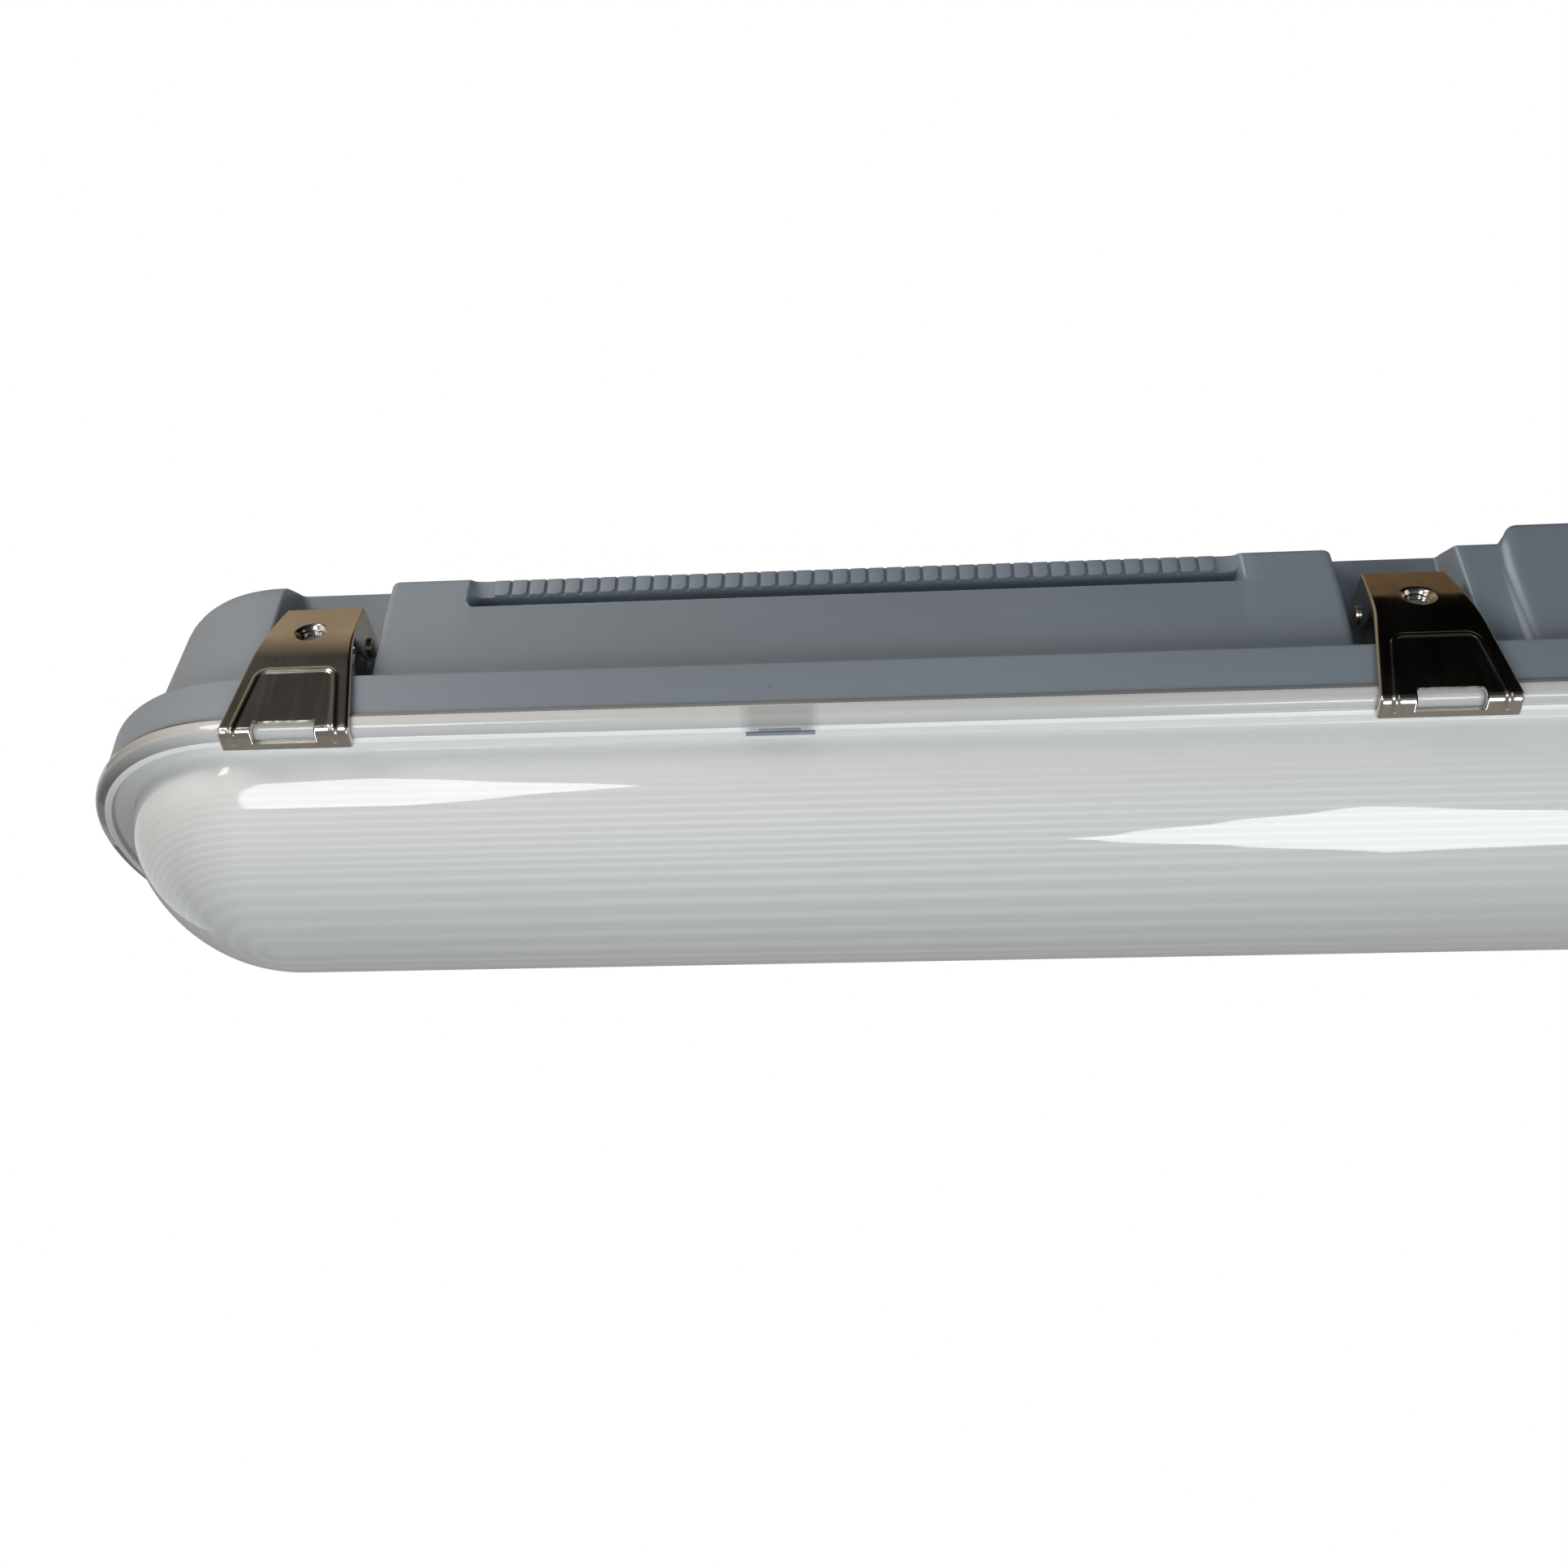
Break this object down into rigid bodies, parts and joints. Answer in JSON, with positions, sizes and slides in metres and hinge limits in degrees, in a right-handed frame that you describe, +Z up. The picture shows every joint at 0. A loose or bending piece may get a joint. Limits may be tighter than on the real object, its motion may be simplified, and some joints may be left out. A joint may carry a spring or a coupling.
{
  "type": "vapor tight light fixture",
  "caption": "Long sealed ceiling light with a grey moulded housing, milky ribbed diffuser, steel toggle latches, gear tray, light boards, driver and end cable gland.",
  "frame": {"origin": "middle of the flat top of the housing, where the fixture meets the ceiling", "axes": "+X along the fixture towards the cable gland, +Z up towards the ceiling, the front row of latches faces -Y"},
  "size_m": [1.2746, 0.1034, 0.0893],
  "materials": {
    "housing_grey": "fine satin moulded polycarbonate, light grey",
    "diffuser_milk": "milky glossy polycarbonate with fine ribs",
    "gasket_foam": "foamed polyurethane, pale grey",
    "stainless": "bright rolled stainless steel sheet and wire",
    "tray_white": "white powder coat",
    "board_white": "white solder mask with light chips",
    "zinc_steel": "zinc plated steel",
    "terminal_nylon": "natural nylon",
    "gland_grey": "grey nylon",
    "seal_rubber": "black rubber",
    "lead_white": "white insulated twin lead"
  },
  "bodies": {
    "housing": {"housing": "housing_grey", "gasket": "gasket_foam", "diffuser": "diffuser_milk", "gear_tray": "tray_white", "led_board_1": "board_white", "led_board_2": "board_white", "led_board_3": "board_white", "led_board_4": "board_white", "board_screw_1": "zinc_steel", "board_screw_2": "zinc_steel", "board_screw_3": "zinc_steel", "board_screw_4": "zinc_steel", "tray_screw_1": "zinc_steel", "tray_screw_2": "zinc_steel", "tray_screw_3": "zinc_steel", "tray_screw_4": "zinc_steel", "led_driver": "zinc_steel", "driver_screw_1": "zinc_steel", "driver_screw_2": "zinc_steel", "terminal_block": "terminal_nylon", "mains_lead": "lead_white", "gland_body": "gland_grey", "gland_nut": "gland_grey", "gland_seal": "seal_rubber", "gland_locknut": "gland_grey"},
    "latch_link_front_1": {"link_front_1": "stainless"},
    "latch_clip_front_1": {"clip_front_1": "stainless", "pivot_pin_front_1": "stainless"},
    "latch_link_front_2": {"link_front_2": "stainless"},
    "latch_clip_front_2": {"clip_front_2": "stainless", "pivot_pin_front_2": "stainless"},
    "latch_link_front_3": {"link_front_3": "stainless"},
    "latch_clip_front_3": {"clip_front_3": "stainless", "pivot_pin_front_3": "stainless"},
    "latch_link_front_4": {"link_front_4": "stainless"},
    "latch_clip_front_4": {"clip_front_4": "stainless", "pivot_pin_front_4": "stainless"},
    "latch_link_front_5": {"link_front_5": "stainless"},
    "latch_clip_front_5": {"clip_front_5": "stainless", "pivot_pin_front_5": "stainless"},
    "latch_link_rear_1": {"link_rear_1": "stainless"},
    "latch_clip_rear_1": {"clip_rear_1": "stainless", "pivot_pin_rear_1": "stainless"},
    "latch_link_rear_2": {"link_rear_2": "stainless"},
    "latch_clip_rear_2": {"clip_rear_2": "stainless", "pivot_pin_rear_2": "stainless"},
    "latch_link_rear_3": {"link_rear_3": "stainless"},
    "latch_clip_rear_3": {"clip_rear_3": "stainless", "pivot_pin_rear_3": "stainless"},
    "latch_link_rear_4": {"link_rear_4": "stainless"},
    "latch_clip_rear_4": {"clip_rear_4": "stainless", "pivot_pin_rear_4": "stainless"},
    "latch_link_rear_5": {"link_rear_5": "stainless"},
    "latch_clip_rear_5": {"clip_rear_5": "stainless", "pivot_pin_rear_5": "stainless"}
  },
  "joints": [
    {"name": "link_hinge_front_1", "type": "hinge", "parent": "housing", "child": "latch_link_front_1", "pos_m": [-0.56986, -0.034, -0.037], "axis": [1, 0, 0], "range_deg": [0, 90]},
    {"name": "clip_pivot_front_1", "type": "hinge", "parent": "latch_link_front_1", "child": "latch_clip_front_1", "pos_m": [-0.56986, -0.0351, -0.026], "axis": [1, 0, 0], "range_deg": [-105, 0]},
    {"name": "link_hinge_front_2", "type": "hinge", "parent": "housing", "child": "latch_link_front_2", "pos_m": [-0.31986, -0.034, -0.037], "axis": [1, 0, 0], "range_deg": [0, 90]},
    {"name": "clip_pivot_front_2", "type": "hinge", "parent": "latch_link_front_2", "child": "latch_clip_front_2", "pos_m": [-0.31986, -0.0351, -0.026], "axis": [1, 0, 0], "range_deg": [-105, 0]},
    {"name": "link_hinge_front_3", "type": "hinge", "parent": "housing", "child": "latch_link_front_3", "pos_m": [0, -0.034, -0.037], "axis": [1, 0, 0], "range_deg": [0, 90]},
    {"name": "clip_pivot_front_3", "type": "hinge", "parent": "latch_link_front_3", "child": "latch_clip_front_3", "pos_m": [0, -0.0351, -0.026], "axis": [1, 0, 0], "range_deg": [-105, 0]},
    {"name": "link_hinge_front_4", "type": "hinge", "parent": "housing", "child": "latch_link_front_4", "pos_m": [0.31986, -0.034, -0.037], "axis": [1, 0, 0], "range_deg": [0, 90]},
    {"name": "clip_pivot_front_4", "type": "hinge", "parent": "latch_link_front_4", "child": "latch_clip_front_4", "pos_m": [0.31986, -0.0351, -0.026], "axis": [1, 0, 0], "range_deg": [-105, 0]},
    {"name": "link_hinge_front_5", "type": "hinge", "parent": "housing", "child": "latch_link_front_5", "pos_m": [0.56986, -0.034, -0.037], "axis": [1, 0, 0], "range_deg": [0, 90]},
    {"name": "clip_pivot_front_5", "type": "hinge", "parent": "latch_link_front_5", "child": "latch_clip_front_5", "pos_m": [0.56986, -0.0351, -0.026], "axis": [1, 0, 0], "range_deg": [-105, 0]},
    {"name": "link_hinge_rear_1", "type": "hinge", "parent": "housing", "child": "latch_link_rear_1", "pos_m": [-0.56986, 0.034, -0.037], "axis": [-1, 0, 0], "range_deg": [0, 90]},
    {"name": "clip_pivot_rear_1", "type": "hinge", "parent": "latch_link_rear_1", "child": "latch_clip_rear_1", "pos_m": [-0.56986, 0.0351, -0.026], "axis": [-1, 0, 0], "range_deg": [-105, 0]},
    {"name": "link_hinge_rear_2", "type": "hinge", "parent": "housing", "child": "latch_link_rear_2", "pos_m": [-0.31986, 0.034, -0.037], "axis": [-1, 0, 0], "range_deg": [0, 90]},
    {"name": "clip_pivot_rear_2", "type": "hinge", "parent": "latch_link_rear_2", "child": "latch_clip_rear_2", "pos_m": [-0.31986, 0.0351, -0.026], "axis": [-1, 0, 0], "range_deg": [-105, 0]},
    {"name": "link_hinge_rear_3", "type": "hinge", "parent": "housing", "child": "latch_link_rear_3", "pos_m": [0, 0.034, -0.037], "axis": [-1, 0, 0], "range_deg": [0, 90]},
    {"name": "clip_pivot_rear_3", "type": "hinge", "parent": "latch_link_rear_3", "child": "latch_clip_rear_3", "pos_m": [0, 0.0351, -0.026], "axis": [-1, 0, 0], "range_deg": [-105, 0]},
    {"name": "link_hinge_rear_4", "type": "hinge", "parent": "housing", "child": "latch_link_rear_4", "pos_m": [0.31986, 0.034, -0.037], "axis": [-1, 0, 0], "range_deg": [0, 90]},
    {"name": "clip_pivot_rear_4", "type": "hinge", "parent": "latch_link_rear_4", "child": "latch_clip_rear_4", "pos_m": [0.31986, 0.0351, -0.026], "axis": [-1, 0, 0], "range_deg": [-105, 0]},
    {"name": "link_hinge_rear_5", "type": "hinge", "parent": "housing", "child": "latch_link_rear_5", "pos_m": [0.56986, 0.034, -0.037], "axis": [-1, 0, 0], "range_deg": [0, 90]},
    {"name": "clip_pivot_rear_5", "type": "hinge", "parent": "latch_link_rear_5", "child": "latch_clip_rear_5", "pos_m": [0.56986, 0.0351, -0.026], "axis": [-1, 0, 0], "range_deg": [-105, 0]}
  ],
  "couplings": [
    {"joint": "clip_pivot_front_1", "follows": "link_hinge_front_1", "ratio": -1.1667},
    {"joint": "clip_pivot_front_2", "follows": "link_hinge_front_2", "ratio": -1.1667},
    {"joint": "clip_pivot_front_3", "follows": "link_hinge_front_3", "ratio": -1.1667},
    {"joint": "clip_pivot_front_4", "follows": "link_hinge_front_4", "ratio": -1.1667},
    {"joint": "clip_pivot_front_5", "follows": "link_hinge_front_5", "ratio": -1.1667},
    {"joint": "clip_pivot_rear_1", "follows": "link_hinge_rear_1", "ratio": -1.1667},
    {"joint": "clip_pivot_rear_2", "follows": "link_hinge_rear_2", "ratio": -1.1667},
    {"joint": "clip_pivot_rear_3", "follows": "link_hinge_rear_3", "ratio": -1.1667},
    {"joint": "clip_pivot_rear_4", "follows": "link_hinge_rear_4", "ratio": -1.1667},
    {"joint": "clip_pivot_rear_5", "follows": "link_hinge_rear_5", "ratio": -1.1667}
  ]
}
